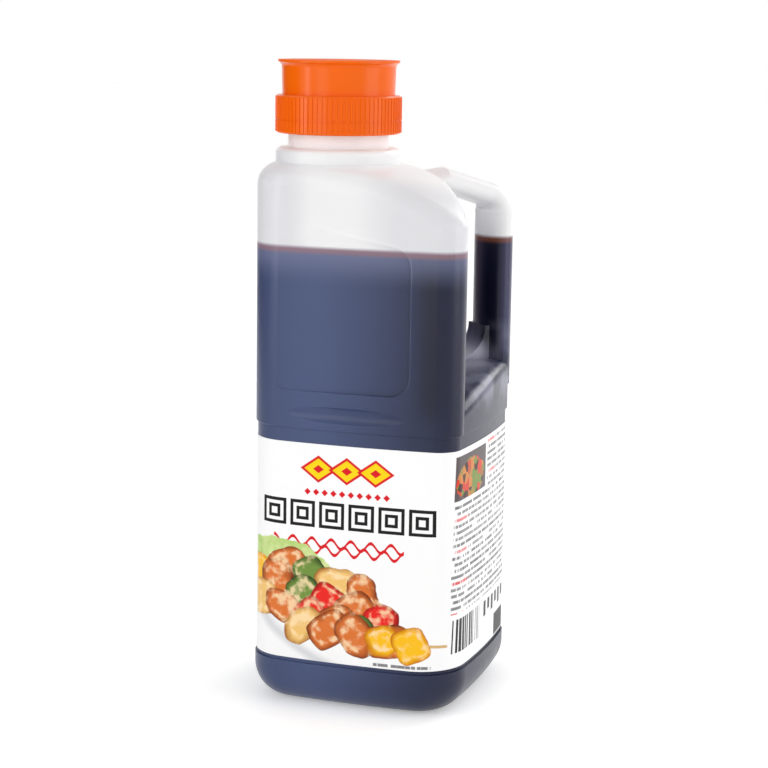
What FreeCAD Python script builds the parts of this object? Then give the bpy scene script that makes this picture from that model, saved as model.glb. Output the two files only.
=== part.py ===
import FreeCAD, Part
import math
import os

import Sketcher
from FreeCAD import Placement, Rotation, Vector

# Two-litre sauce bottle of blown polyethylene, 99 mm square, with a closed
# screw cap.  The form is symmetric about the vertical plane through the
# front-left and the back-right edge.  The neck stands off centre towards the
# front left, and the hollow handle takes the place of the back-right edge of
# the upper half.  Origin: middle of the footprint, on the ground.  +Z is up
# and the label's main panel faces -Y.

doc = FreeCAD.newDocument("SauceBottle")

# ---------------------------------------------------------------- dimensions

sheet = doc.addObject("Spreadsheet::Sheet", "Sizes")

DIMENSIONS = [
    # body
    ("side", 99.0, "width and depth of the body across its bowed faces"),
    ("wall", 1.2, "thickness of the blown wall"),
    ("bow_radius", 374.0, "plan radius of the bowed faces"),
    ("front_left_round", 18.8, "plan radius of the front-left edge"),
    ("back_right_round", 19.0, "plan radius of the back-right edge"),
    ("side_round_foot", 23.0, "plan radius of the other two edges at the foot"),
    ("side_round_top", 9.5, "plan radius of those edges at the deck"),
    ("foot_round", 15.5, "rounding between the faces and the underside"),
    ("deck_height", 147.5, "crest of the deck below the finger hole"),
    ("deck_round", 5.0, "rounding of the deck's outer edges"),
    ("deck_arch", 150.0, "radius of the deck across the finger hole"),
    ("push_up", 2.5, "depth of the hollow in the underside"),
    ("push_up_margin", 24.0, "width of the standing rim"),
    # upper half
    ("back_wall_bow", 168.0, "plan radius of that wall"),
    ("tip_round", 10.5, "plan radius of the two edges beside the handle"),
    ("crown_radius", 105.8, "radius of the domed shoulder"),
    ("crown_height", 240.7, "top of the dome on the neck axis"),
    ("shoulder_round", 9.0, "rounding between the faces and the shoulder"),
    # label and its recess
    ("lip_round", 0.6, "rounding of the skin's edge above the recess"),
    ("recess_depth", 0.8, "depth of the label recess"),
    ("recess_foot", 20.2, "lower edge of the label recess"),
    ("recess_drop", 23.1, "drop from the deck's crest to the recess's upper edge"),
    ("label_gap_foot", 1.7, "clearance between the label and the recess's lower edge"),
    ("label_gap_top", 6.1, "clearance between the label and the recess's upper edge"),
    ("label_thickness", 0.25, "thickness of the label film"),
    # grip panel and stiffening groove, on the front and on the left face
    ("panel_lean", 9.0, "sideways shift of the panel's floor, which lets it fade out"),
    ("panel_depth", 0.75, "depth of the grip panel"),
    ("panel_gap", 16.6, "height of the panel's lower edge above the recess"),
    ("panel_start", -37.0, "start of the panel, from the middle of the face"),
    ("panel_end", 27.3, "end of the panel, from the middle of the face"),
    ("panel_drop", 37.7, "drop from the dome's top to the panel's top at that end"),
    ("panel_slope", 11.0, "rise of the panel's top edge towards the front left"),
    ("panel_round", 9.0, "rounding of the panel's corners"),
    ("groove_gap", 6.9, "height of the stiffening groove above the recess"),
    ("groove_length", 53.0, "length of the groove"),
    ("groove_depth", 1.8, "depth of the groove"),
    ("groove_width", 9.0, "width of the groove"),
    ("groove_shift", 2.1, "offset of the groove from the middle, away from the handle"),
    # handle
    ("grip_inset", 16.0036, "from the corner of the square around the body to the grip's axis"),
    ("finger_depth", 26.6, "clear depth of the finger hole"),
    ("grip_half_depth", 7.6, "half depth of the grip, radially"),
    ("grip_half_width", 11.5, "half width of the grip"),
    ("arm_drop", 20.7, "drop from the dome's top to where the arm's and the grip's axes meet"),
    ("arm_slope", 17.0, "slope of the arm"),
    ("arm_half_depth", 5.6, "half depth of the arm"),
    ("arm_half_width", 10.0, "half width of the arm"),
    ("handle_bend", 8.0, "radius of the bend between arm and grip"),
    ("arm_root", 6.0, "how far to each side of the wall the arm's root reaches"),
    ("arm_sink", 1.6, "depth of the arm's top below the shoulder at that end"),
    ("grip_root", 12.0, "how far the grip's axis runs on below the deck"),
    ("web_round", 15.0, "reach of the hollow curve from the grip down to the deck"),
    ("web_sink", 2.0, "how far the curve's block reaches into the grip"),
    ("web_half_width", 8.0, "half width of that curve, across the finger hole"),
    # neck
    ("neck_offset", 17.1, "offset of the neck axis, to the left and to the front"),
    ("neck_root", 14.0, "how far the neck's tube runs on below the shoulder"),
    ("neck_outer", 21.8, "radius of the neck"),
    ("neck_wall", 2.6, "thickness of the neck's wall"),
    ("neck_rise", 22.9, "height of the mouth's rim above the dome's top"),
    ("bead_depth", 5.4, "how far the bead below the cap stands out"),
    ("bead_drop", 5.3, "drop from the dome's top to the bead's lower edge"),
    ("bead_height", 8.1, "height of the bead"),
    ("bead_round", 2.6, "rounding of the bead"),
    # sauce
    ("fill_drop", 38.7, "drop from the dome's top to the sauce's surface"),
    # cap
    ("cap_gap", 6.1, "clearance between the bead and the cap"),
    ("band_height", 5.6, "height of the tamper band"),
    ("band_gap", 0.4, "gap between the band and the collar"),
    ("collar_wall", 4.9, "thickness of the collar's wall between its ribs"),
    ("collar_plate", 2.1, "thickness of the collar's top"),
    ("rib_count", 80.0, "ribs round the collar"),
    ("rib_depth", 0.4, "how far a rib stands out"),
    ("rib_width", 1.1, "width of a rib"),
    ("thread_gap", 0.3, "clearance between the neck and the cap"),
    ("cover_step", 2.6, "how far the cover's foot stands back from the collar"),
    ("cover_flare", 0.3, "how far the cover widens up to its flange"),
    ("cover_height", 14.9, "height of the cover above the collar"),
    ("cover_wall", 1.5, "wall of the cover"),
    ("flange_reach", 1.6, "how far the cover's flange stands out"),
    ("flange_edge", 1.0, "thickness of the flange at its edge"),
    ("flange_cove", 2.2, "height of the curve under the flange"),
    ("plug_depth", 5.0, "how far the plug reaches into the collar"),
]

# Places and radii that follow from the sizes above.
DERIVED = [
    ("recess_top", "deck_height - recess_drop", "upper edge of the label recess"),
    ("label_foot", "recess_foot + label_gap_foot", "lower edge of the label"),
    ("label_top", "recess_top - label_gap_top", "upper edge of the label"),
    ("groove_height", "recess_top + groove_gap", "height of the stiffening groove"),
    ("panel_foot", "recess_top + panel_gap", "lower edge of the grip panel"),
    ("panel_top_end", "crown_height - panel_drop", "top of the panel at its end"),
    ("grip_reach", "side / sqrt(2) - grip_inset", "distance of the grip's axis from the middle"),
    ("back_wall", "grip_reach - grip_half_depth - finger_depth",
     "distance of the wall behind the fingers from the middle"),
    ("arm_height", "crown_height - arm_drop", "height where the arm's and the grip's axes meet"),
    ("neck_bore", "neck_outer - neck_wall", "radius of the mouth"),
    ("neck_top", "crown_height + neck_rise", "height of the rim of the mouth"),
    ("bead_radius", "neck_outer + bead_depth", "radius of the bead"),
    ("bead_foot", "crown_height - bead_drop", "lower edge of the bead"),
    ("bead_top", "bead_foot + bead_height", "upper edge of the bead"),
    ("fill_height", "crown_height - fill_drop", "height of the sauce's surface"),
    ("cap_foot", "bead_top + cap_gap", "lower edge of the cap"),
    ("collar_radius", "neck_outer + thread_gap + collar_wall", "radius of the collar"),
    ("collar_top", "neck_top + thread_gap + collar_plate", "top of the knurled collar"),
    ("cover_radius", "collar_radius - cover_step", "radius of the cover at its foot"),
    ("cover_top_radius", "cover_radius + cover_flare", "radius of the cover below its flange"),
    ("cover_top", "collar_top + cover_height", "top of the cap"),
    ("flange_radius", "cover_top_radius + flange_reach", "radius of the cover's flange"),
]
ALIASES = [line[0] for line in DIMENSIONS + DERIVED]

for row, (alias, content, meaning) in enumerate(DIMENSIONS + DERIVED, start=1):
    sheet.set("A%d" % row, meaning)
    sheet.set("B%d" % row, "=" + content if isinstance(content, str) else repr(content))
    sheet.setAlias("B%d" % row, alias)
doc.recompute()


def size(alias):
    """A dimension of the sheet, as a number."""
    return float(sheet.get(alias))


def value(expression):
    """The number that an expression of the sheet's cells stands for."""
    return float(sheet.evalExpression(cell(expression)))


def cell(expression):
    """An expression with each {alias} written as the sheet's cell."""
    for alias in ALIASES:
        expression = expression.replace("{%s}" % alias, "Sizes.%s" % alias)
    return expression


# ------------------------------------------------------------- small helpers

SQRT2 = math.sqrt(2.0)
OUTWARD = Vector(1, 1, 0).normalize()     # from the middle towards the handle
SIDEWAYS = Vector(1, -1, 0).normalize()   # across the finger hole
FINISHED = []                             # the sub-parts that are written


def bind(item, **expressions):
    """Bind properties to expressions; x, y and z are the placement's base."""
    for name, expression in expressions.items():
        target = ".Placement.Base." + name if name in ("x", "y", "z") else name
        item.setExpression(target, cell(expression))
    return item


def cylinder(name, radius, height, x="0", y="0", z="0"):
    item = doc.addObject("Part::Cylinder", name)
    return bind(item, Radius=radius, Height=height, x=x, y=y, z=z)


def slab(name, foot, top):
    """A wide level plate between two heights, for cutting by height."""
    item = doc.addObject("Part::Box", name)
    return bind(item, Length="4 * {side}", Width="4 * {side}",
                Height="(%s) - (%s)" % (top, foot),
                x="-2 * {side}", y="-2 * {side}", z=foot)


def common(name, *shapes):
    item = doc.addObject("Part::MultiCommon", name)
    item.Shapes = list(shapes)
    return item


def fuse(name, first, *others):
    """Join shapes one after another; the last step clears the seams."""
    item = first
    for number, other in enumerate(others, start=1):
        last = number == len(others)
        step = doc.addObject("Part::Fuse", name if last else "%sStep%d" % (name, number))
        step.Base = item
        step.Tool = other
        step.Refine = last
        item = step
    return item


def cut(name, base, tool):
    item = doc.addObject("Part::Cut", name)
    item.Base = base
    item.Tool = tool
    return item


def fillet(name, base, chosen):
    """Round edges of base; chosen gives (start, end) radii for an edge, or None."""
    doc.recompute()
    radii = []
    for number, edge in enumerate(base.Shape.Edges, start=1):
        pair = chosen(edge)
        if pair:
            radii.append((number, pair[0], pair[1]))
    assert radii, name + " finds no edge to round"
    item = doc.addObject("Part::Fillet", name)
    item.Base = base
    item.Edges = radii
    return item


def is_upright(edge):
    ends = edge.Vertexes
    if len(ends) != 2:
        return False
    run = ends[1].Point - ends[0].Point
    return abs(run.z) > 0.99 * run.Length


def is_level_at(edge, height):
    return edge.BoundBox.ZLength < 0.01 and abs(edge.BoundBox.ZMin - height) < 0.01


# --------------------------------------------------------------- body forms

def bowed_face(name, inset, foot, top, x_side, y_side):
    """A drum whose flank is one bowed face; x_side and y_side point to it."""
    centre = "({side} / 2 - {bow_radius})"
    return cylinder(name, "{bow_radius} - (%s)" % inset, "(%s) - (%s)" % (top, foot),
                    x="%d * %s" % (x_side, centre), y="%d * %s" % (y_side, centre), z=foot)


def lower_form(tag, inset, foot="0"):
    """The square lower half with its four rounded edges, inset from the skin."""
    faces = [bowed_face(tag + side, inset, foot, "{deck_height}", x, y)
             for side, x, y in (("Right", 1, 0), ("Back", 0, 1), ("Left", -1, 0), ("Front", 0, -1))]
    block = common(tag + "Block", *faces)
    shrink = value(inset)

    def edge_radii(edge):
        if not is_upright(edge):
            return None
        low, high = sorted((v.Point for v in edge.Vertexes), key=lambda p: p.z)
        if low.x * low.y < 0:
            pair = (size("side_round_foot") - shrink, size("side_round_top") - shrink)
            return pair if edge.Vertexes[0].Point.z < edge.Vertexes[-1].Point.z else pair[::-1]
        radius = size("back_right_round") if low.x > 0 else size("front_left_round")
        return (radius - shrink, radius - shrink)

    return fillet(tag + "Rounded", block, edge_radii)


def upper_form(tag, inset, foot):
    """The upper half: two bowed faces, the wall behind the fingers, the dome."""
    shrink = value(inset)
    faces = [bowed_face(tag + side, inset, foot, "{crown_height}", x, y)
             for side, x, y in (("Left", -1, 0), ("Front", 0, -1))]
    middle = "({back_wall} - {back_wall_bow}) / sqrt(2)"
    inner = cylinder(tag + "BackWall", "{back_wall_bow} - (%s)" % inset,
                     "{crown_height} - (%s)" % foot, x=middle, y=middle, z=foot)
    block = common(tag + "Block", *faces, inner)

    def edge_radii(edge):
        if not is_upright(edge):
            return None
        point = edge.Vertexes[0].Point
        radius = size("front_left_round") if point.x + point.y < -size("side") / 2 else size("tip_round")
        return (radius - shrink, radius - shrink)

    rounded = fillet(tag + "Rounded", block, edge_radii)
    dome = doc.addObject("Part::Sphere", tag + "Dome")
    bind(dome, Radius="{crown_radius} - (%s)" % inset, x="-{neck_offset}", y="-{neck_offset}",
         z="{crown_height} - {crown_radius}")
    domed = common(tag + "Domed", rounded, dome)
    height = size("crown_height") - size("crown_radius")
    axis = Vector(-size("neck_offset"), -size("neck_offset"), height)

    def on_dome(edge):
        middle_point = edge.valueAt((edge.FirstParameter + edge.LastParameter) / 2)
        reach = (middle_point - axis).Length
        if abs(reach - (size("crown_radius") - shrink)) > 0.01 or middle_point.z < size("deck_height"):
            return None
        radius = size("shoulder_round") - shrink
        return (radius, radius)

    return fillet(tag + "Shouldered", domed, on_dome)


def handle_points():
    """Corners of the handle's axis in the plane of symmetry, as (outward, up)."""
    slope = math.radians(size("arm_slope"))
    reach = size("grip_reach")
    tangent = size("handle_bend") * math.tan((math.pi / 2 - slope) / 2)
    start = size("back_wall") + size("arm_root")
    root = size("back_wall") - size("arm_root")
    across = root + size("neck_offset") * SQRT2
    dome = math.sqrt(size("crown_radius") ** 2 - across ** 2)
    shoulder = size("crown_height") - size("crown_radius") + dome
    return {
        "root": (root, shoulder - size("arm_half_depth") - size("arm_sink")),
        "arm_start": (start, size("arm_height") + (reach - start) * math.tan(slope)),
        "arm_end": (reach - tangent * math.cos(slope), size("arm_height") + tangent * math.sin(slope)),
        "grip_top": (reach, size("arm_height") - tangent),
        "grip_end": (reach, size("deck_height") - size("grip_root")),
    }


def bend_path(tag):
    """The arc between the arm's axis and the grip's, in the plane of symmetry."""
    slope = math.radians(size("arm_slope"))
    bend = size("handle_bend")
    reach, top = handle_points()["grip_top"]
    path = doc.addObject("Sketcher::SketchObject", tag + "BendPath")
    path.Placement = Placement(Vector(0, 0, 0), Rotation(OUTWARD, Vector(0, 0, 1), SIDEWAYS, "ZXY"))
    circle = Part.Circle(Vector(reach - bend, top, 0), Vector(0, 0, 1), bend)
    path.addGeometry(Part.ArcOfCircle(circle, 0, math.pi / 2 - slope), False)
    centre_up = "{arm_height} - {handle_bend} * tan(45 deg - {arm_slope} * 0.5 deg)"
    sized = [
        (Sketcher.Constraint("Radius", 0, bend), "{handle_bend}"),
        (Sketcher.Constraint("DistanceX", -1, 1, 0, 3, reach - bend), "{grip_reach} - {handle_bend}"),
        (Sketcher.Constraint("DistanceY", -1, 1, 0, 3, top), centre_up),
        (Sketcher.Constraint("DistanceY", -1, 1, 0, 1, top), centre_up),
        (Sketcher.Constraint("DistanceX", -1, 1, 0, 2, reach - bend + bend * math.sin(slope)),
         "{grip_reach} - {handle_bend} + {handle_bend} * sin({arm_slope} * 1 deg)"),
    ]
    for constraint, expression in sized:
        number = path.addConstraint(constraint)
        path.setExpression("Constraints[%d]" % number, cell(expression))
    return path


def web_form(tag, inset):
    """The hollow curve that leads from the grip's inner side down to the deck."""
    block = doc.addObject("Part::Box", tag + "Block")
    bind(block, Length="{web_round} + {web_sink}", Width="2 * {web_half_width} - 2 * (%s)" % inset,
         Height="{web_round} + {grip_root} - (%s)" % inset)
    start = OUTWARD * (size("grip_reach") - size("grip_half_depth") - size("web_round"))
    low = Vector(0, 0, size("deck_height") - size("grip_root"))
    block.Placement = Placement(start + low + SIDEWAYS * (size("web_half_width") - value(inset)),
                                Rotation(OUTWARD, SIDEWAYS * -1, Vector(0, 0, 1), "ZXY"))
    hollow = doc.addObject("Part::Cylinder", tag + "Hollow")
    bind(hollow, Radius="{web_round} + (%s)" % inset, Height="2 * {side}")
    centre = start + Vector(0, 0, size("deck_height") + size("web_round"))
    hollow.Placement = Placement(centre + SIDEWAYS * size("side"), Rotation(Vector(0, 0, 1), SIDEWAYS * -1))
    return cut(tag, block, hollow)


def handle_form(tag, inset):
    """Arm and grip as straight elliptical bars, joined by a bend that swells."""
    points = handle_points()
    slope = math.radians(size("arm_slope"))
    stations = [("root", 0, "arm"), ("arm_start", slope, "arm"), ("arm_end", slope, "arm"),
                ("grip_top", math.pi / 2, "grip"), ("grip_end", math.pi / 2, "grip")]
    sections = []
    for name, angle, part in stations:
        along = OUTWARD * math.cos(angle) - Vector(0, 0, 1) * math.sin(angle)
        section = doc.addObject("Part::Ellipse", tag + name.title().replace("_", ""))
        bind(section, MajorRadius="{%s_half_width} - (%s)" % (part, inset),
             MinorRadius="{%s_half_depth} - (%s)" % (part, inset))
        turn = Rotation(SIDEWAYS, along.cross(SIDEWAYS), along, "ZXY")
        out, up = points[name]
        section.Placement = Placement(OUTWARD * out + Vector(0, 0, up), turn)
        sections.append(section)
    bars = []
    for name, pair in (("Root", sections[:2]), ("Arm", sections[1:3]), ("Grip", sections[3:])):
        bar = doc.addObject("Part::Loft", tag + name)
        bar.Sections = pair
        bar.Solid = True
        bar.Ruled = True
        bars.append(bar)
    bend = doc.addObject("Part::Sweep", tag + "Bend")
    bend.Sections = [sections[3], sections[2]]
    bend.Spine = (bend_path(tag), ["Edge1"])
    bend.Solid = True
    return fuse(tag, bars[0], bars[1], bend, bars[2], web_form(tag + "Web", inset))


def neck_form(tag, radius, inset, top):
    """The neck with the bead that the cap's band stops on."""
    height = "({crown_height} - {neck_root})"
    neck = cylinder(tag + "Tube", radius, "%s - %s" % (top, height),
                    x="-{neck_offset}", y="-{neck_offset}", z=height)
    bead = cylinder(tag + "Bead", "{bead_radius} - (%s)" % inset,
                    "{bead_top} - {bead_foot} - 2 * (%s)" % inset,
                    x="-{neck_offset}", y="-{neck_offset}", z="{bead_foot} + (%s)" % inset)
    shrink = value(inset)
    levels = (size("bead_foot") + shrink, size("bead_top") - shrink)
    radius_pair = (size("bead_round") - shrink,) * 2
    rounded = fillet(tag + "BeadRounded", bead,
                     lambda edge: radius_pair if any(is_level_at(edge, z) for z in levels) else None)
    return fuse(tag, neck, rounded)


def push_up_form(tag, grow):
    """The shallow hollow in the underside, grown by a wall for the cavity."""
    cone = doc.addObject("Part::Cone", tag)
    return bind(cone, Radius1="{side} / 2 - {push_up_margin} + 2 * {push_up} + 2 * (%s)" % grow,
                Radius2="{side} / 2 - {push_up_margin} + (%s) / 2" % grow, Height="{push_up} + (%s)" % grow)


def mirrored(tag, source):
    """The same form on the other side of the plane of symmetry."""
    item = doc.addObject("Part::Mirroring", tag)
    item.Source = source
    item.Base = Vector(0, 0, 0)
    item.Normal = SIDEWAYS
    return fuse(tag + "Pair", source, item)


def panel_form(tag, grow):
    """What the grip panel takes off the front face, and off the left face."""
    outline = doc.addObject("Part::Wedge", tag + "Outline")
    foot = "{panel_foot} - (%s)" % grow
    top = "{panel_top_end} + (%s)" % grow
    length = "({panel_end} - {panel_start} + 2 * (%s))" % grow
    bind(outline, Xmin="-{side}", Xmax="0", Ymin="0", Ymax=length, Zmin=foot, Zmax=top,
         X2min="-{side}", X2max="0", Z2min=foot, Z2max="%s + %s * tan({panel_slope} * 1 deg)" % (top, length),
         x="{panel_end} + (%s)" % grow)
    outline.Placement.Rotation = Rotation(Vector(0, 0, 1), 90)

    def across(edge):
        box = edge.BoundBox
        return (size("panel_round"),) * 2 if box.XLength < 0.01 and box.ZLength < 0.01 else None

    rounded = fillet(tag + "OutlineRounded", outline, across)
    core = cylinder(tag + "Core", "{bow_radius} - {panel_depth} - (%s)" % grow,
                    "{crown_height} - {recess_top}",
                    x="-{panel_lean}", y="{bow_radius} - {side} / 2", z="{recess_top}")
    return mirrored(tag, cut(tag + "Skin", rounded, core))


def groove_form(tag, grow):
    """The lens-shaped groove: a wide wheel's rim sunk into the bowed face."""
    rim = 1 / (8 * size("groove_depth") / size("groove_length") ** 2 - 1 / size("bow_radius"))
    wheel = doc.addObject("Part::Torus", tag)
    reach = "(1 / (8 * {groove_depth} / {groove_length}^2 - 1 / {bow_radius}))"
    bind(wheel, Radius1="%s - {groove_width} / 2" % reach, Radius2="{groove_width} / 2 + (%s)" % grow,
         x="-{groove_shift}", y="-{side} / 2 - %s + {groove_depth}" % reach, z="{groove_height}")
    assert rim > size("side"), "the groove is too deep for its length"
    return mirrored(tag, wheel)


def bottle_form(tag, lower_inset, upper_inset, foot, neck_radius, neck_top):
    """The whole blown form, inset from the skin: body, deck, shoulder, handle, neck."""
    lower = lower_form(tag + "Lower", lower_inset, foot)
    shrink = value(lower_inset)
    ground = value(foot)
    rounded = fillet(tag + "LowerFooted", lower,
                     lambda edge: (size("foot_round") - shrink,) * 2 if is_level_at(edge, ground) else None)
    # the deck arches across the finger hole
    arch = doc.addObject("Part::Cylinder", tag + "Arch")
    bind(arch, Radius="{deck_arch} - (%s)" % upper_inset, Height="2 * {side}")
    centre = Vector(0, 0, size("deck_height") - size("deck_arch")) - OUTWARD * size("side")
    arch.Placement = Placement(centre, Rotation(Vector(0, 0, 1), OUTWARD))
    arched = common(tag + "DeckArched", rounded, arch)
    arch_radius = size("deck_arch") - value(upper_inset)
    rounding = size("deck_round") - value(upper_inset)

    def on_open_arch(edge):
        """The edges that the arch cuts behind the tower, where the skin shows."""
        first, last = edge.ParameterRange
        for share in (0.1, 0.5, 0.9):
            point = edge.valueAt(first + share * (last - first)) - centre
            if abs(math.hypot(point.dot(SIDEWAYS), point.z) - arch_radius) > 0.01:
                return None
        middle = edge.valueAt((first + last) / 2)
        return (rounding, rounding) if middle.dot(OUTWARD) > size("back_wall") else None

    deck = fillet(tag + "Deck", arched, on_open_arch)
    upper = upper_form(tag + "Upper", upper_inset, "{recess_top} + (%s)" % upper_inset)
    handle = handle_form(tag + "Handle", upper_inset)
    neck = neck_form(tag + "Neck", neck_radius, upper_inset, neck_top)
    body = fuse(tag + "Form", deck, upper, handle, neck)
    carved = cut(tag + "Footed", body, push_up_form(tag + "PushUp", upper_inset))
    panelled = cut(tag + "Panelled", carved, panel_form(tag + "Panel", upper_inset))
    return cut(tag + "Grooved", panelled, groove_form(tag + "Groove", upper_inset))


def finish(item, label):
    """Name a sub-part after its node and list it for writing."""
    item.Label = label
    FINISHED.append(item)
    return item


# ------------------------------------------------------- bottle, sauce, label

skin = bottle_form("Skin", "0", "0", "0", "{neck_outer}", "{neck_top}")
cavity = bottle_form("Cavity", "{recess_depth} + {wall}", "{wall}", "{wall}",
                     "{neck_bore}", "({neck_top} + 1)")

recess_core = lower_form("RecessCore", "{recess_depth}")
recess = cut("Recess", slab("RecessSlab", "{recess_foot}", "{recess_top}"), recess_core)
recessed = cut("BottleRecessed", skin, recess)


def on_lip(edge):
    """The skin's edge above the recess, and not the recess's inner corner."""
    if not is_level_at(edge, size("recess_top")):
        return None
    middle = Part.Vertex(edge.valueAt(sum(edge.ParameterRange) / 2))
    proud = recess_core.Shape.distToShape(middle)[0] > size("recess_depth") / 2
    return (size("lip_round"), size("lip_round")) if proud else None


finish(cut("Bottle", fillet("BottleLipped", recessed, on_lip), cavity), "bottle")
finish(common("Sauce", cavity, slab("SauceSlab", "0", "{fill_height}")), "sauce")

label_outer = common("LabelBlock", slab("LabelSlab", "{label_foot}", "{label_top}"),
                     lower_form("LabelFace", "({recess_depth} - {label_thickness})"))
finish(cut("Label", label_outer, recess_core), "label")


# ------------------------------------------------------------------------ cap

def origin_plane(body, role):
    return next(item for item in body.Origin.OriginFeatures if item.Role == role)


def draw(sketch, outline, coves=()):
    """A closed outline whose corners are (x, y) expressions; coves are hollow arcs."""
    corners = [Vector(value(x), value(y), 0) for x, y in outline]
    count = len(corners)
    for index in range(count):
        start, end = corners[index], corners[(index + 1) % count]
        if index in coves:
            along = end - start
            hollow = (start + end) * 0.5 + Vector(along.y, -along.x, 0) * COVE_BULGE
            sketch.addGeometry(Part.Arc(start, hollow, end), False)
        else:
            sketch.addGeometry(Part.LineSegment(start, end), False)
    for index in range(count):
        first = 1
        if index in coves and (sketch.Geometry[index].StartPoint - corners[index]).Length > 0.001:
            first = 2
        before = (index - 1) % count
        last = 2
        if before in coves and (sketch.Geometry[before].EndPoint - corners[index]).Length > 0.001:
            last = 1
        sketch.addConstraint(Sketcher.Constraint("Coincident", before, last, index, first))
        x, y = outline[index]
        if x == "0":
            sketch.addConstraint(Sketcher.Constraint("PointOnObject", index, first, -2))
        else:
            across = Sketcher.Constraint("DistanceX", -1, 1, index, first, corners[index].x)
            number = sketch.addConstraint(across)
            sketch.setExpression("Constraints[%d]" % number, cell(x))
        upwards = Sketcher.Constraint("DistanceY", -1, 1, index, first, corners[index].y)
        number = sketch.addConstraint(upwards)
        sketch.setExpression("Constraints[%d]" % number, cell(y))
    for index in coves:
        sketch.addConstraint(Sketcher.Constraint("Radius", index, sketch.Geometry[index].Radius))
    return sketch


def turned_body(name, outline, coves=()):
    """A body turned about the neck axis from an outline of (radius, height)."""
    body = doc.addObject("PartDesign::Body", name)
    bind(body, x="-{neck_offset}", y="-{neck_offset}")
    profile = body.newObject("Sketcher::SketchObject", name + "Profile")
    profile.AttachmentSupport = [(origin_plane(body, "XZ_Plane"), "")]
    profile.MapMode = "FlatFace"
    draw(profile, outline, coves)
    turned = body.newObject("PartDesign::Revolution", name + "Turned")
    turned.Profile = profile
    turned.ReferenceAxis = (profile, ["V_Axis"])
    turned.Angle = 360
    profile.Visibility = False
    return body


def add_ribs(body, foot, top):
    """Upright ribs round the body, spaced evenly."""
    name = body.Name
    plan = body.newObject("Sketcher::SketchObject", name + "RibPlan")
    plan.AttachmentSupport = [(origin_plane(body, "XY_Plane"), "")]
    plan.MapMode = "FlatFace"
    plan.setExpression(".AttachmentOffset.Base.z", cell(foot))
    root = "{collar_radius} - {rib_depth}"
    crest = "{collar_radius} + {rib_depth}"
    draw(plan, [(root, "-{rib_width} / 2"), (crest, "-{rib_width} / 5"),
                (crest, "{rib_width} / 5"), (root, "{rib_width} / 2")])
    rib = body.newObject("PartDesign::Pad", name + "Rib")
    rib.Profile = plan
    rib.setExpression("Length", cell("(%s) - (%s)" % (top, foot)))
    doc.recompute()
    pattern = body.newObject("PartDesign::PolarPattern", name + "Ribs")
    pattern.Originals = [rib]
    pattern.Axis = (plan, ["N_Axis"])
    pattern.Angle = 360
    pattern.setExpression("Occurrences", cell("{rib_count}"))
    body.Tip = pattern
    return body


COVE_BULGE = 0.18     # rise of a cove's arc over its chord
CHAMFER = "0.6"       # bevel of the cap's outer edges

bore = "{neck_outer} + {thread_gap}"
band_top = "{cap_foot} + {band_height}"
band = turned_body("Band", [
    (bore, "{cap_foot}"),
    ("{collar_radius} - " + CHAMFER, "{cap_foot}"),
    ("{collar_radius}", "{cap_foot} + " + CHAMFER),
    ("{collar_radius}", band_top),
    (bore, band_top),
])
finish(add_ribs(band, "{cap_foot} + " + CHAMFER, band_top), "cap_band")

collar_foot = band_top + " + {band_gap}"
collar = turned_body("Collar", [
    (bore, collar_foot),
    ("{collar_radius}", collar_foot),
    ("{collar_radius}", "{collar_top} - " + CHAMFER),
    ("{collar_radius} - " + CHAMFER, "{collar_top}"),
    ("{neck_bore}", "{collar_top}"),
    ("{neck_bore}", "{collar_top} - {collar_plate}"),
    (bore, "{collar_top} - {collar_plate}"),
])
finish(add_ribs(collar, collar_foot, "{collar_top} - " + CHAMFER), "cap_collar")

under_flange = "{cover_top} - {flange_edge}"
ceiling = "{cover_top} - {cover_wall}"
plug = "{neck_bore} - {thread_gap}"
plug_foot = "{collar_top} - {plug_depth}"
cover = turned_body("Cover", [
    ("0", "{cover_top}"),
    ("{flange_radius}", "{cover_top}"),
    ("{flange_radius}", under_flange),
    ("{cover_top_radius}", under_flange + " - {flange_cove}"),
    ("{cover_radius}", "{collar_top}"),
    ("{cover_radius} - {cover_wall}", "{collar_top}"),
    ("{cover_top_radius} - {cover_wall}", ceiling),
    (plug, ceiling),
    (plug, plug_foot),
    (plug + " - {cover_wall}", plug_foot),
    (plug + " - {cover_wall}", ceiling),
    ("0", ceiling),
], coves=(2,))
finish(cover, "cap_cover")

# ------------------------------------------------------------ check and write

doc.recompute()
for item in doc.Objects:
    if "Invalid" in item.State or "Error" in item.State:
        raise RuntimeError(item.Name + " did not build")
for item in FINISHED:
    shape = item.Shape
    if shape.isNull() or not shape.isValid() or not shape.Solids:
        raise RuntimeError(item.Label + " is not a valid solid")
    print("%-12s %2d solid %10.1f mm3" % (item.Label, len(shape.Solids), shape.Volume))

os.makedirs("parts", exist_ok=True)
for item in FINISHED:
    item.Shape.exportStep("parts/%s.step" % item.Label)
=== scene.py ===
# %% [markdown]
# # A handled sauce bottle
#
# The bottle is blown from milky polythene and filled with a dark sauce. It has a
# printed wrap-around label, a hollow handle at its rear right corner, and an
# orange screw cap set off the middle. The shapes come from the CAD model. This
# lesson gives them their finishes, models the filling anew, and lights them.

import math

import bpy
from mathutils import Matrix, Vector


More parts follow.
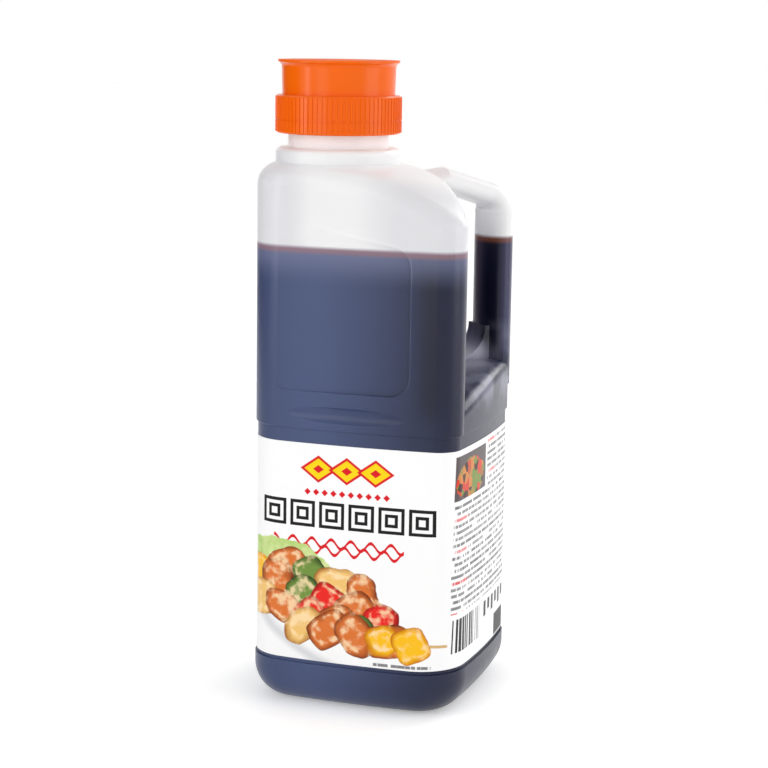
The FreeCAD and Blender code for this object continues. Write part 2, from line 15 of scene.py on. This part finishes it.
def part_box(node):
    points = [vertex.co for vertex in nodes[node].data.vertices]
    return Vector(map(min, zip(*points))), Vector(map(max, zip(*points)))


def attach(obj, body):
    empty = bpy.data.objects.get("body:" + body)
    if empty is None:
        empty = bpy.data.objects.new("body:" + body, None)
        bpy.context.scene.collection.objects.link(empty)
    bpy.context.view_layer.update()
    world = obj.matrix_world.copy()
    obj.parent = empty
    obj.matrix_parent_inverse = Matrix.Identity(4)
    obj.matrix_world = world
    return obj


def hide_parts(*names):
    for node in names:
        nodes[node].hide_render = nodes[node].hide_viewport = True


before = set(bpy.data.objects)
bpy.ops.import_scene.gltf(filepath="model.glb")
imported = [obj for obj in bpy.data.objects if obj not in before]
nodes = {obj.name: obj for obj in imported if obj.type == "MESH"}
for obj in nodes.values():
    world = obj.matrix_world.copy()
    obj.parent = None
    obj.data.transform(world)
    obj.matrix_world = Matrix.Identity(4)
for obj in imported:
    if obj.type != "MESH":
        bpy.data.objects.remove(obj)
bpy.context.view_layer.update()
print("nodes:", sorted(nodes))

# %% [markdown]
# ## Sizes of the object
#
# Patterns are placed in metres, from the same few dimensions that shaped the CAD
# model, so a finish always lands on the form it belongs to.

# %% Sizes
MM = 0.001
FILL = 202 * MM                  # level of the sauce
DECK = 147.5 * MM                # crest of the deck below the finger hole
AXIS = (-17.1 * MM, -17.1 * MM)  # axis of the neck
LABEL_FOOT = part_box("label")[0][2]
LABEL_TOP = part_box("label")[1][2]
LABEL_HEIGHT = LABEL_TOP - LABEL_FOOT
FLAT = 44.7 * MM                 # further out than this, a point is on a label's face
print("label from", round(LABEL_FOOT, 4), "to", round(LABEL_TOP, 4))

# %% [markdown]
# ## Shader maths as Python
#
# A pattern is easier to read as an expression than as a list of linked nodes.
# `Sum` wraps one socket and overloads the operators, so `a * 2 + b` adds the
# Math nodes by itself. `Finish` makes a material and any other node.

# %% Expressions on sockets
class Sum:
    """A number that varies over a surface, for use in expressions."""

    def __init__(self, finish, socket):
        self.finish = finish
        self.socket = socket

    def join(self, operation, *others):
        return self.finish.sum(operation, self, *others)

    def __add__(self, other):
        return self.join("ADD", other)

    def __sub__(self, other):
        return self.join("SUBTRACT", other)

    def __mul__(self, other):
        return self.join("MULTIPLY", other)

    def __truediv__(self, other):
        return self.join("DIVIDE", other)

    def __radd__(self, other):
        return self + other

    def __rmul__(self, other):
        return self * other

    def __rsub__(self, other):
        return self.finish.sum("SUBTRACT", other, self)

    def __rtruediv__(self, other):
        return self.finish.sum("DIVIDE", other, self)

    def __abs__(self):
        return self.join("ABSOLUTE")

    def at_least(self, other):
        return self.join("MAXIMUM", other)

    def at_most(self, other):
        return self.join("MINIMUM", other)

    def sin(self):
        return self.join("SINE")

    def wrapped(self, width):
        """The remainder after whole widths, as a repeat does."""
        return self.join("FLOORED_MODULO", width)

    def above(self, edge, softness=0.0002):
        """0 below the edge and 1 above it, over a soft step."""
        return self.finish.step(self, edge, softness)

    def below(self, edge, softness=0.0002):
        return 1.0 - self.above(edge, softness)

    def between(self, low, high, softness=0.0002):
        return self.above(low, softness) * self.below(high, softness)


class Finish:
    """A material with one Principled shader, built by expressions."""

    def __init__(self, name, **settings):
        self.material = bpy.data.materials.new(name)
        self.material.use_nodes = True
        self.tree = self.material.node_tree
        self.shader = self.tree.nodes["Principled BSDF"]
        for socket, value in settings.items():
            self.shader.inputs[socket.replace("_", " ")].default_value = value
        self.place = self.node("ShaderNodeTexCoord").outputs["Object"]
        parts = self.node("ShaderNodeSeparateXYZ", inputs={0: self.place}).outputs
        self.x, self.y, self.z = (Sum(self, part) for part in parts)

    def node(self, kind, settings=None, inputs=None):
        """Any node: its settings first, then the values or links of its sockets."""
        node = self.tree.nodes.new(kind)
        for name, value in (settings or {}).items():
            setattr(node, name, value)
        for key, value in (inputs or {}).items():
            value = value.socket if isinstance(value, Sum) else value
            if isinstance(value, bpy.types.NodeSocket):
                self.tree.links.new(value, node.inputs[key])
            else:
                node.inputs[key].default_value = value
        return node

    def sum(self, operation, *values):
        inputs = dict(enumerate(values))
        return Sum(self, self.node("ShaderNodeMath", {"operation": operation}, inputs).outputs[0])

    def step(self, value, edge, softness):
        settings = {"interpolation_type": "SMOOTHSTEP"}
        inputs = {"Value": value, "From Min": edge - softness, "From Max": edge + softness}
        return Sum(self, self.node("ShaderNodeMapRange", settings, inputs).outputs[0])

    def noise(self, scale, detail=2.0):
        """Cloudy variation about 0.5, at so many bumps to the metre."""
        inputs = {"Vector": self.place, "Scale": scale, "Detail": detail}
        return Sum(self, self.node("ShaderNodeTexNoise", None, inputs).outputs[0])

    def blend(self, factor, under, over):
        """The under colour, with the over colour laid on where factor is 1."""
        inputs = {0: factor, 6: under, 7: over}
        return self.node("ShaderNodeMix", {"data_type": "RGBA"}, inputs).outputs[2]

    def feed(self, socket, value):
        value = value.socket if isinstance(value, Sum) else value
        self.tree.links.new(value, self.shader.inputs[socket])

    def bump(self, height, depth):
        """Relief of a depth in metres, from a height between 0 and 1."""
        inputs = {"Height": height, "Distance": depth}
        self.feed("Normal", self.node("ShaderNodeBump", None, inputs).outputs[0])

    def dress(self, *objects):
        """Put this material on the objects, in place of any other."""
        for item in objects:
            item.data.materials.clear()
            item.data.materials.append(self.material)


def srgb(red, green, blue):
    """A colour given from 0 to 255 as a screen shows it, as the shader wants it."""
    def linear(part):
        part = part / 255
        return part / 12.92 if part <= 0.04045 else ((part + 0.055) / 1.055) ** 2.4
    return (linear(red), linear(green), linear(blue), 1.0)


print("expressions ready")

# %% [markdown]
# ## The sauce
#
# Inside the real bottle the sauce wets the wall, so there is no gap of air
# between them. The CAD solid of the sauce stops exactly at the inner wall. A
# renderer would see two surfaces in one place there, so a copy is made a little
# larger, which reaches into the wall.

# %% The filling
SOAK = 0.35 * MM                # how far the filling reaches into the wall


def copied(node, name):
    """A copy of a CAD node's mesh, to be shaped further."""
    mesh = nodes[node].data.copy()
    piece = bpy.data.objects.new(name, mesh)
    bpy.context.collection.objects.link(piece)
    piece.matrix_world = nodes[node].matrix_world.copy()
    return piece


def edit(piece):
    """Open one piece for editing with nothing else selected."""
    if bpy.context.mode != "OBJECT":
        bpy.ops.object.mode_set(mode="OBJECT")
    bpy.ops.object.select_all(action="DESELECT")
    bpy.context.view_layer.objects.active = piece
    piece.select_set(True)
    bpy.ops.object.mode_set(mode="EDIT")
    bpy.ops.mesh.select_mode(type="VERT")
    bpy.ops.mesh.select_all(action="DESELECT")


def close():
    """Leave edit mode, so that the mesh holds what was done."""
    bpy.ops.object.mode_set(mode="OBJECT")


filling = copied("sauce", "filling")
edit(filling)
bpy.ops.mesh.select_all(action="SELECT")
bpy.ops.mesh.remove_doubles(threshold=0.002 * MM)
bpy.ops.transform.shrink_fatten(value=SOAK, use_even_offset=True)
close()
for corner in filling.data.vertices:
    corner.co.z = min(corner.co.z, FILL)
print("filling:", len(filling.data.polygons), "faces, level at", round(FILL, 4))
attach(filling, "root")
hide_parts("sauce")

sauce_finish = Finish("sauce", Roughness=0.12, IOR=1.4)
cloud = sauce_finish.noise(40.0)
sauce_finish.feed("Base Color", sauce_finish.blend(cloud, srgb(34, 18, 16), srgb(44, 26, 24)))
sauce_finish.dress(filling)

# %% [markdown]
# ## The milky wall
#
# Natural polythene scatters light. Where the dark sauce wets it, the scattered
# light is all that shows, and it is bluish, as smoke is against something dark.
# Where there is air behind it, light goes round and round in the empty space and
# the plastic looks white. Both are one wall, so one finish changes at the level
# of the sauce, with a thin red-brown line where the sauce has crept up.

# %% Finish of the bottle
wall = Finish("milky_polythene", Roughness=0.3, IOR=1.5, Specular_IOR_Level=0.25,
              Subsurface_Weight=0.4, Subsurface_Scale=0.006, Subsurface_Radius=(1.0, 1.0, 1.0),
              Coat_Weight=0.08, Coat_Roughness=0.1)
drift = wall.noise(9.0, 3.0)
speck = wall.noise(220.0, 2.0)
outward = (wall.x + wall.y) * math.sqrt(0.5)    # from the middle towards the handle
sideways = (wall.x - wall.y) * math.sqrt(0.5)   # towards the front-right edge

# A painted reflection makes the wetted wall lightest left of the middle, and a painted dark
# reflection makes it darkest at the front-right edge.
painted_reflection = wall.x.between(-50 * MM, 14 * MM, 42 * MM)
deep = wall.blend(painted_reflection, srgb(12, 16, 44), srgb(72, 86, 126))
deep = wall.blend(drift * 0.2, deep, srgb(44, 52, 86))
# The painted dark reflection runs along the front-right edge, from a little below the deck
# upwards.
edge = wall.x.between(32 * MM, 41 * MM, 6 * MM) * wall.y.below(-20 * MM, 10 * MM)
deep = wall.blend(edge * 0.75 * wall.z.above(DECK - 14 * MM, 8 * MM), deep, srgb(6, 8, 30))

# Across the grip's narrow chamber, as seen from the front, colour is painted in bands: browner on
# its inner side, painted shade that is black in the middle, and a painted lighter band on its
# outer side.
# Across it is measured along the line (0.947, 0.32), from the grip's own middle.
GRIP_MIDDLE = 48.4 * MM
across = wall.x * 0.947 + wall.y * 0.32 - GRIP_MIDDLE
grip = outward.above(43 * MM, 1.5 * MM) * wall.z.above(DECK + 2 * MM, 4 * MM)
deep = wall.blend(grip * across.below(-4.5 * MM, 1.5 * MM) * 0.8, deep, srgb(62, 40, 60))
deep = wall.blend(grip * across.between(-5 * MM, 2 * MM, 2 * MM) * 0.8, deep, srgb(10, 8, 24))
deep = wall.blend(grip * across.above(4 * MM, 2 * MM) * 0.6, deep, srgb(70, 70, 104))

# Painted highlights: soft patches of light on the deck and the web below the hole, and a whitish
# painted highlight on the lip just above the deck's crest.
patches = wall.noise(48.0, 2.0).above(0.52, 0.12) * outward.between(18 * MM, 60 * MM, 4 * MM)
patches = patches * wall.z.between(DECK - 14 * MM, DECK + 14 * MM, 6 * MM)
deep = wall.blend(patches * 0.5, deep, srgb(150, 152, 172))
# The whitish painted highlight on the lip of the hole.
hollow = outward.between(26 * MM, 45 * MM, 3 * MM)
hollow = hollow * wall.z.between(DECK - 1 * MM, DECK + 7 * MM, 4 * MM)
deep = wall.blend(hollow * 0.6, deep, srgb(196, 196, 212))
under_rim = wall.z.above(FILL - 8 * MM, 8 * MM)
deep = wall.blend(under_rim * (1.0 - grip) * 0.65, deep, srgb(116, 122, 154))

# Painted shade makes the empty wall greyer at its upright edges.
milk = wall.blend(drift, srgb(250, 250, 251), srgb(253, 253, 254))
grey = outward.below(-50 * MM, 5 * MM) + sideways.above(42 * MM, 9 * MM)
milk = wall.blend(grey.at_most(1.0) * 0.7, milk, srgb(218, 218, 224))

creep = FILL + 0.8 * MM
level = wall.z.below(creep, 1.1 * MM)
line = wall.z.between(FILL - 1.6 * MM, creep, 1.1 * MM)
skin = wall.blend(level, milk, deep)
skin = wall.blend(line * 0.5, skin, wall.blend(grip, srgb(164, 112, 104), srgb(150, 86, 50)))
wall.feed("Base Color", skin)
wall.feed("Roughness", 0.26 + speck * 0.08)
wall.bump(speck * 0.6 + drift * 0.4, 0.03 * MM)
wall.dress(nodes["bottle"])
print("wall dressed")

# %% [markdown]
# ## The orange cap
#
# The cap is moulded in a strong orange. Moulded plastic is nearly even in
# colour, with a faint grain from the steel of the mould, so the finish is a
# small drift in colour and a fine, shallow bump.

# %% Finish of the cap
cap = Finish("orange_plastic", Roughness=0.2, IOR=1.46, Specular_IOR_Level=0.25)
drift = cap.noise(30.0)
grain = cap.noise(900.0, 3.0)
cap.feed("Base Color", cap.blend(drift, srgb(238, 98, 0), srgb(241, 104, 2)))
# The flat top was left matt by the mould.
top = cap.z.above(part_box("cap_cover")[1][2] - 0.4 * MM, 0.2 * MM)
cap.feed("Roughness", 0.18 + grain * 0.08 + top * 0.35)
cap.bump(grain, 0.02 * MM)
cap.dress(nodes["cap_band"], nodes["cap_collar"], nodes["cap_cover"])

# %% [markdown]
# The tamper band hangs from the collar by thin bridges, which lie a little back
# from the surface. A circle is extruded up, in and down to a ring, and every
# fourth of its outer faces is then drawn outwards as a bridge.

# %% Bridges between band and collar
BAND_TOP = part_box("cap_band")[1][2]
COLLAR_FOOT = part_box("cap_collar")[0][2]
RING_SIDES = 120
RING_RADIUS = 26.7 * MM
RING_INSIDE = 0.87              # inner radius, as a share of the outer one
BRIDGE_REACH = 1.01             # radius over a bridge, as a share of the outer one
RING_FOOT, RING_HEIGHT = BAND_TOP - 0.1 * MM, COLLAR_FOOT - BAND_TOP + 0.2 * MM
CAP_MIDDLE = (AXIS[0], AXIS[1], RING_FOOT)

bpy.ops.object.select_all(action="DESELECT")
bpy.ops.mesh.primitive_circle_add(vertices=RING_SIDES, radius=RING_RADIUS, location=CAP_MIDDLE)
bridges = bpy.context.object
bridges.name = "cap_bridges"
bpy.ops.object.transform_apply(location=True)
edit(bridges)
bpy.ops.mesh.select_all(action="SELECT")
bpy.ops.mesh.extrude_region_move(TRANSFORM_OT_translate={"value": (0, 0, RING_HEIGHT)})
bpy.ops.mesh.extrude_region_move()
bpy.ops.transform.resize(value=(RING_INSIDE, RING_INSIDE, 1.0), center_override=CAP_MIDDLE)
bpy.ops.mesh.extrude_region_move(TRANSFORM_OT_translate={"value": (0, 0, -RING_HEIGHT)})
bpy.ops.mesh.select_all(action="DESELECT")
bpy.ops.mesh.select_mode(type="FACE")
close()
for face in bridges.data.polygons:
    run, rise = face.center.x - AXIS[0], face.center.y - AXIS[1]
    outer = math.hypot(run, rise) > RING_RADIUS * 0.98
    side = round(math.degrees(math.atan2(rise, run)) * RING_SIDES / 360)
    face.select = outer and side % 4 == 0
bpy.ops.object.mode_set(mode="EDIT")
bpy.ops.mesh.extrude_region_move()
bpy.ops.transform.resize(value=(BRIDGE_REACH, BRIDGE_REACH, 1.0), center_override=CAP_MIDDLE)
close()
cap.dress(bridges)
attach(bridges, "root")
print("bridges:", len(bridges.data.polygons), "faces")

# %% [markdown]
# ## The printed label
#
# The label is one strip of smooth white film around the bottle. Its print is
# made of flat fields, so each field is a mask, a number that is 1 inside the
# shape and 0 outside, and the colours are laid on in turn as a printer does. A
# front field is placed by its distance across the front and its height.

# %% Masks for print
label = Finish("label", Roughness=0.35, IOR=1.45, Specular_IOR_Level=0.2)
EDGE = 0.12 * MM                # softness of a printed edge
FRONT = label.y.below(-40 * MM, 0.5 * MM)
RIGHT = label.x.above(FLAT, 0.1 * MM)
LEFT = label.x.below(-FLAT, 0.1 * MM)
BACK = label.y.above(FLAT, 0.1 * MM)


class Field:
    """Print on one face, placed by millimetres across it and up from its foot."""

    def __init__(self, across, face):
        self.across = across
        self.up = label.z - LABEL_FOOT
        self.face = face

    def turned(self, at, angle):
        """Distances along and across a line through a point, at an angle."""
        run = self.across - at[0] * MM
        rise = self.up - at[1] * MM
        cosine, sine = math.cos(math.radians(angle)), math.sin(math.radians(angle))
        return run * cosine + rise * sine, rise * cosine - run * sine

    def box(self, at, width, height, angle=0.0):
        run, rise = self.turned(at, angle)
        inside = abs(run).below(width * MM / 2, EDGE)
        return inside * abs(rise).below(height * MM / 2, EDGE)

    def pebble(self, at, width, height, angle=0.0, squareness=3.0, wobble=None):
        """How far inside a rounded block a point is: 0 at its middle, 1 at its edge."""
        run, rise = self.turned(at, angle)
        run, rise = abs(run) / (width * MM / 2), abs(rise) / (height * MM / 2)
        reach = run.join("POWER", squareness) + rise.join("POWER", squareness)
        return reach if wobble is None else reach + wobble


front = Field(label.x, FRONT)
right = Field(label.y, RIGHT)
print("masks ready; label is", round(LABEL_HEIGHT / MM, 1), "mm high")

# %% [markdown]
# ### Ornament above the dish
#
# Three gold lozenges with red rims head the front. Below them run a row of red
# dots, a band of nested squares in black, which is an old pattern of measuring
# boxes, and two red wave lines.

# %% Paper, inks and lozenges
paper = label.noise(25.0)
ink = label.blend(paper, srgb(248, 248, 248), srgb(252, 252, 252))


def lay(mask, colour):
    """Print a colour where the mask is 1."""
    global ink
    ink = label.blend(mask, ink, colour)


GOLD, RED, BLACK = srgb(252, 214, 10), srgb(218, 16, 30), srgb(16, 14, 14)
for middle in (-13.0, 0.0, 13.0):
    run, rise = front.turned((middle, 85.5), 0.0)
    reach = abs(run) / (8.4 * MM) + abs(rise) / (6.0 * MM)
    lay(reach.below(1.0, 0.03) * FRONT, RED)
    lay(reach.below(0.78, 0.03) * FRONT, GOLD)
    lay(reach.below(0.3, 0.03) * FRONT, RED)

# %% Dots and nested squares
DOT_STEP, DOT_HEIGHT = 4 * MM, 75.3 * MM
dots = (label.x + 10 * DOT_STEP).wrapped(DOT_STEP) - DOT_STEP / 2
dots = (abs(dots) + abs(front.up - DOT_HEIGHT)).below(1.5 * MM, EDGE)
lay(dots * abs(label.x).below(5 * DOT_STEP, EDGE) * FRONT, RED)

CELL, BAND_HEIGHT = 13.5 * MM, 65.5 * MM
STROKE = 1.45 * MM              # width of a black line and of the gap beside it
cells = (label.x + 6 * CELL).wrapped(CELL) - CELL / 2
ring = abs(cells).at_least(abs(front.up - BAND_HEIGHT))
stroke = ring.wrapped(2 * STROKE).above(STROKE, EDGE)
stroke = stroke * ring.below(6.1 * MM, EDGE) * abs(label.x).below(3 * CELL, EDGE)
lay(stroke * FRONT, BLACK)

# %% Waves
WAVE_LENGTH, WAVE_REACH = 9 * MM, 1.9 * MM
for row in (0, 1):
    turns = (label.x + row * 3 * MM) * (2 * math.pi / WAVE_LENGTH)
    gap = abs(front.up - (53.0 - 3.0 * row) * MM - turns.sin() * WAVE_REACH)
    span = abs(label.x + 4 * MM).below(30 * MM, EDGE)
    lay(gap.below(0.75 * MM, EDGE) * span * FRONT, RED)
print("head of the label printed")

# %% [markdown]
# ### The dish
#
# A plain dish of glazed morsels on sticks, in the browns, reds, greens and
# yellows of such food. Every morsel is a rounded block with a glaze that is
# darker towards its edge. Last comes one layer of pale shine over all of them,
# because many layers on one label would be too much for the renderer.

# %% Plate, leaves and sticks
frill = label.noise(90.0, 4.0) * 1.6 - 0.8
green_field = front.pebble((-30.0, 43.0), 46.0, 20.0, -8.0, 2.0, frill)
leaf = label.blend(label.noise(160.0, 4.0) * 1.6 - 0.3, srgb(150, 196, 70), srgb(232, 238, 180))
lay(green_field.below(1.0, 0.05) * FRONT, leaf)
plate = front.pebble((10.0, 26.0), 124.0, 66.0, -14.0, 2.0)
plate = plate.between(0.8, 1.0, 0.12) * front.up.below(34 * MM, EDGE)
lay(plate * FRONT * 0.8, srgb(206, 208, 212))

# %% Kinds of morsel, dark and light, and what is on each stick
glaze_noise = label.noise(260.0, 5.0)
cloud_noise = label.noise(110.0, 2.0)
edge_noise = label.noise(120.0, 2.0) * 1.1 - 0.55
KINDS = {
    "meat": (srgb(104, 36, 8), srgb(220, 116, 50)),
    "pale": (srgb(160, 88, 24), srgb(242, 196, 116)),
    "green": (srgb(36, 52, 20), srgb(112, 144, 62)),
    "red": (srgb(136, 6, 8), srgb(234, 36, 30)),
    "gold": (srgb(190, 96, 4), srgb(250, 190, 24)),
}
STICKS = [
    ((-28.0, 42.0), -17.0, ("meat", "green", "pale", "meat")),
    ((-44.0, 37.0), -15.0, ("gold", "meat", "green", "red", "meat", "red")),
    ((-41.0, 25.0), -12.0, ("pale", "meat", "red", "meat", "green", "meat")),
    ((-20.0, 15.5), -5.0, ("pale", "meat", "meat", "gold", "gold")),
]
print(sum(len(kinds) for start, angle, kinds in STICKS), "morsels on", len(STICKS), "sticks")


def from_start(start, angle, along):
    """The place so many millimetres along a stick from its first morsel."""
    slope = math.radians(angle)
    return start[0] + along * math.cos(slope), start[1] + along * math.sin(slope)


# %% Morsels
TURNS = (37, -42, 18, -64, 25, -15, 51)
SQUARENESS = (2.4, 3.6, 2.8)
SPACING = 12.4                  # millimetres from one morsel to the next
food, shines = None, None
for line_number, (start, angle, kinds) in enumerate(STICKS):
    length = 12.6 * len(kinds)
    middle = from_start(start, angle, length / 2)
    stick = front.box((middle[0] - 4, middle[1] + 1), length + 10, 1.3, angle)
    lay(stick * FRONT, srgb(214, 176, 120))
    for number, kind in enumerate(kinds):
        dark, body = KINDS[kind]
        at = from_start(start, angle, SPACING * number)
        width = 20.0 if kind in ("meat", "pale") else 16.0
        height = 14.0 + (number + line_number) % 3
        turn = angle + TURNS[(number + 2 * line_number) % 7]
        squareness = SQUARENESS[(number + line_number) % 3]
        reach = front.pebble(at, width, height, turn, squareness, edge_noise)
        inside = reach.below(1.0, 0.06) * FRONT
        lay(inside, label.blend((1.0 - reach) * 1.3 + cloud_noise * 1.4 - 0.55, dark, body))
        glint = reach.between(0.16, 0.42, 0.1)
        food = inside if food is None else food.at_least(inside)
        shines = glint if shines is None else shines * (1.0 - inside) + glint * inside
shine = (glaze_noise * 1.6 + cloud_noise + shines * 0.25).above(1.5, 0.22)
lay(food * shine * 0.75, srgb(255, 226, 180))

# %% [markdown]
# ### Fine print at the side
#
# The other faces carry rows of fine print. It is only a texture of short
# dashes, with a red dash at the head of each paragraph. The right face also has
# a block of bars, a row of short bars, a black block and a small picture field.

# %% Rows of dashes
ROW = 2.8 * MM                  # from one row to the next
DASHES = 520.0                  # changes of the noise to the metre, along a row
row_number = (right.up / ROW).join("FLOOR")
in_row = right.up / ROW - row_number


def white_noise(number):
    """A value between 0 and 1 that jumps from each whole number to the next."""
    settings = {"noise_dimensions": "1D"}
    return Sum(label, label.node("ShaderNodeTexWhiteNoise", settings, {"W": number}).outputs[0])


def rows(across, face, low, high, start, end):
    """Rows of dashes between two heights, and between two places across."""
    inputs = {0: across * DASHES, 1: row_number * 7.31}
    place = label.node("ShaderNodeCombineXYZ", None, inputs).outputs[0]
    inputs = {"Vector": place, "Scale": 1.0, "Detail": 1.0}
    dash = Sum(label, label.node("ShaderNodeTexNoise", None, inputs).outputs[0])
    words = dash.above(0.43, 0.05) * in_row.between(0.3, 0.78, 0.06)
    width = across.between(start * MM, end * MM, EDGE)
    tall = right.up.between(low * MM, high * MM, EDGE)
    head = (row_number + 1.0).wrapped(5.0).above(3.5, 0.1)
    lead = across.below((start + 13.0) * MM, 3.0 * MM)
    shade = label.blend(head * lead, srgb(96, 94, 96), srgb(222, 60, 62))
    lay(words * width * tall * face * (0.75 + white_noise(row_number) * 0.2), shade)


rows(label.y, RIGHT, 24.0, 72.5, -40.0, 36.0)
rows(label.y, RIGHT, 72.5, 95.0, -2.0, 36.0)
rows(label.y, LEFT, 26.0, 88.0, -31.0, 31.0)
rows(label.x, BACK, 12.0, 88.0, -31.0, 31.0)

# %% The small picture, a round of mixed food on a grey ground
picture = right.box((-22.5, 84.0), 36.0, 19.5)
tossed = label.node("ShaderNodeTexVoronoi", None, {"Vector": label.place, "Scale": 260.0})
inputs = {0: tossed.outputs["Color"]}
hue = Sum(label, label.node("ShaderNodeSeparateColor", None, inputs).outputs[0])
mixed = label.blend(hue.above(0.3, 0.05), srgb(60, 34, 24), srgb(208, 130, 60))
mixed = label.blend(hue.above(0.62, 0.05), mixed, srgb(110, 140, 60))
mixed = label.blend(hue.above(0.82, 0.05), mixed, srgb(214, 60, 40))
heap = right.pebble((-23.5, 82.0), 33.0, 18.0, 0.0, 2.0, edge_noise).below(1.0, 0.05)
lay(picture * RIGHT, label.blend(heap, srgb(92, 82, 84), mixed))

# %% Bars, black blocks and the line at the front's foot
BAR = 0.72 * MM                 # width of the narrowest bar
bars = right.box((-24.0, 14.0), 30.0, 15.0)
stripes = white_noise((label.y / BAR).join("FLOOR")).above(0.45, 0.02)
lay(bars * stripes * RIGHT, srgb(40, 38, 40))
lay(right.box((25.0, 5.5), 19.0, 10.0) * RIGHT, BLACK)
for number in range(6):
    shorter = number % 2
    short_bar = right.box((-1.0 + 6.2 * number, 17.5 + shorter), 3.4, 7.0 - 2 * shorter)
    lay(short_bar * RIGHT, BLACK)
rows(label.x, FRONT, 0.3, 2.8, 12.0, 38.0)

label.feed("Base Color", ink)
label.bump(label.noise(60.0), 0.04 * MM)
label.dress(nodes["label"])
print("label printed with", len(label.tree.nodes), "nodes")

# %% [markdown]
# ## Floor, backdrop and light
#
# The bottle stands on a plain white floor under an even white sky. To the camera
# and in reflections the floor glows a little, so that it runs white into the
# sky, but it keeps the bottle's soft shadow. Four soft lamps light the bottle, a
# narrow one from the front left and broad ones from the front, the right and the
# back. The sky is at full strength where it is seen and weaker as a light.

# %% Floor
bpy.ops.object.select_all(action="DESELECT")
bpy.ops.mesh.primitive_plane_add(size=16.0, location=(0, 0, 0))
floor = bpy.context.object
floor.name = "floor"
ground = Finish("floor", Roughness=0.6, Specular_IOR_Level=0.2, Emission_Strength=1.0)
tint = ground.blend(ground.noise(3.0), srgb(250, 250, 250), srgb(253, 253, 253))
ground.feed("Base Color", tint)
rays = ground.node("ShaderNodeLightPath").outputs
seen = Sum(ground, rays["Is Camera Ray"])
for ray in ("Is Glossy Ray", "Is Transmission Ray"):
    seen = seen.at_least(rays[ray])
ground.feed("Emission Color", ground.blend(seen, srgb(0, 0, 0), srgb(150, 150, 150)))
ground.dress(floor)
print("floor laid")

# %% [markdown]
# A dark board out of view on the left keeps light off that side, so that the
# form's edge reads against the white, as a studio's black flag does.

# %% Board
BOARD_PLACE = (-1.0, 0.15, 0.5)
bpy.ops.object.select_all(action="DESELECT")
bpy.ops.mesh.primitive_plane_add(size=1.2, location=BOARD_PLACE, rotation=(0, math.pi / 2, 0))
board = bpy.context.object
board.name = "board"
board.visible_camera = False
dull = Finish("board", Roughness=0.9)
dull.feed("Base Color", dull.blend(dull.noise(4.0), srgb(50, 50, 50), srgb(58, 58, 58)))
dull.dress(board)
print("board set up")

# %% Sky
SKY_SEEN, SKY_LIGHT = 1.0, 0.67
world = bpy.data.worlds.new("sky")
bpy.context.scene.world = world
world.use_nodes = True
sky = world.node_tree.nodes["Background"]
path = world.node_tree.nodes.new("ShaderNodeLightPath")
seen = path.outputs["Is Camera Ray"]
for ray in ("Is Glossy Ray", "Is Transmission Ray"):
    either = world.node_tree.nodes.new("ShaderNodeMath")
    either.operation = "MAXIMUM"
    world.node_tree.links.new(seen, either.inputs[0])
    world.node_tree.links.new(path.outputs[ray], either.inputs[1])
    seen = either.outputs[0]
strength = world.node_tree.nodes.new("ShaderNodeMapRange")
world.node_tree.links.new(seen, strength.inputs["Value"])
strength.inputs["To Min"].default_value = SKY_LIGHT
strength.inputs["To Max"].default_value = SKY_SEEN
world.node_tree.links.new(strength.outputs[0], sky.inputs["Strength"])
sky.inputs["Color"].default_value = (1.0, 1.0, 1.0, 1.0)
print("sky lights at", SKY_LIGHT, "of what is seen")

# %% Lamps
AIM = (0, 0, 0.15)              # the middle of the bottle


def lamp(name, place, width, height, power):
    """A soft rectangular lamp, turned to face the middle of the bottle."""
    light = bpy.data.lights.new(name, "AREA")
    light.shape = "RECTANGLE"
    light.size = width
    light.size_y = height
    light.energy = power
    item = bpy.data.objects.new(name, light)
    bpy.context.collection.objects.link(item)
    item.location = place
    item.rotation_euler = (Vector(AIM) - Vector(place)).to_track_quat("-Z", "Y").to_euler()
    print("lamp", name, "of", power, "watts")


lamp("key", (-0.98, -0.95, 0.6), 0.22, 1.2, 4.3)
lamp("front", (-0.35, -1.35, 0.55), 0.6, 1.1, 3.2)
lamp("side", (1.35, 0.0, 0.5), 0.8, 1.2, 5.6)
lamp("back", (0.7, 1.3, 0.9), 0.8, 0.8, 8.0)

# %% [markdown]
# ## Camera
#
# The camera stands a little to the right of the front and looks down a little,
# from about nine tenths of a metre.

# %% Camera
camera_data = bpy.data.cameras.new("camera")
camera_data.lens = 95.35
camera_data.sensor_width = 36.0
camera_data.shift_x = -0.0015
camera_data.shift_y = -0.0417
camera_data.clip_start = 0.01
camera = bpy.data.objects.new("camera", camera_data)
bpy.context.collection.objects.link(camera)
CAMERA_PLACE = (0.2869, -0.8487, 0.2966)
TURN, DIP, ROLL = 18.68, 9.17, 0.85     # degrees: to the left, downwards, and leaning
facing = Matrix.Rotation(math.radians(TURN), 4, "Z")
facing = facing @ Matrix.Rotation(math.radians(90 - DIP), 4, "X")
facing = facing @ Matrix.Rotation(math.radians(ROLL), 4, "Z")
camera.matrix_world = Matrix.Translation(CAMERA_PLACE) @ facing
bpy.context.scene.camera = camera
bpy.context.scene.view_settings.view_transform = "Standard"
